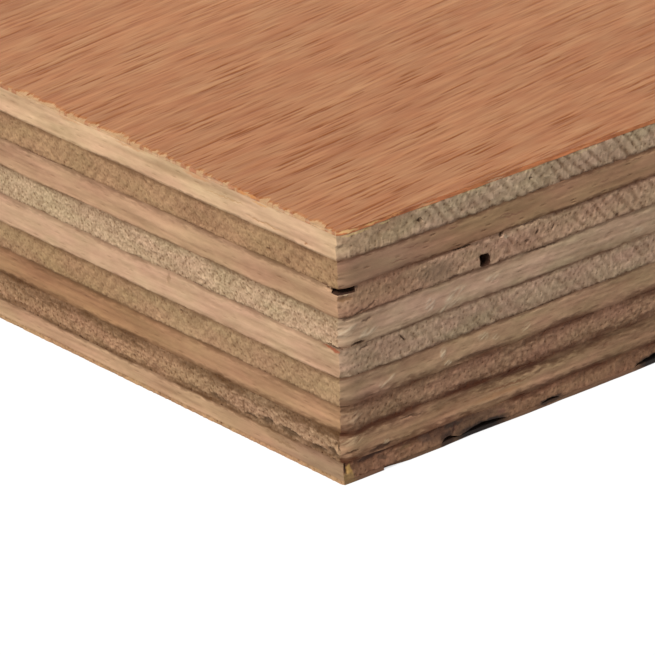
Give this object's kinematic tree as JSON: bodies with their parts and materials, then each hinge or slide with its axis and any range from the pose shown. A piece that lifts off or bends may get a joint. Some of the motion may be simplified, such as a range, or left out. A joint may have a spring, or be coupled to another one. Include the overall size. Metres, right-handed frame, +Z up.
{
  "type": "plywood sheet",
  "caption": "Flat sheet of thick hardwood plywood with bare, freshly sawn edges that show its crosswise veneers, and a chipped lower corner.",
  "frame": {"origin": "centre of the sheet's underside", "axes": "+X along the sheet's length and face grain, +Y across it, +Z up through the veneers"},
  "size_m": [2.44, 1.22, 0.018],
  "materials": {
    "red_hardwood_veneer": "bare, sawn and sanded",
    "tan_crossband_veneer": "bare, sawn and sanded",
    "dark_core_veneer": "bare, sawn and sanded",
    "brown_core_veneer": "bare, sawn and sanded",
    "pink_core_veneer": "bare, sawn and sanded",
    "straw_core_veneer": "bare, sawn and sanded"
  },
  "bodies": {
    "root": {"back_veneer": "red_hardwood_veneer", "lower_crossband": "tan_crossband_veneer", "core_ply_1": "dark_core_veneer", "core_ply_2": "brown_core_veneer", "core_ply_3": "pink_core_veneer", "core_ply_4": "straw_core_veneer", "core_ply_5": "straw_core_veneer", "core_ply_6": "pink_core_veneer", "core_ply_7": "brown_core_veneer", "upper_crossband": "tan_crossband_veneer", "face_veneer": "red_hardwood_veneer"}
  },
  "joints": []
}
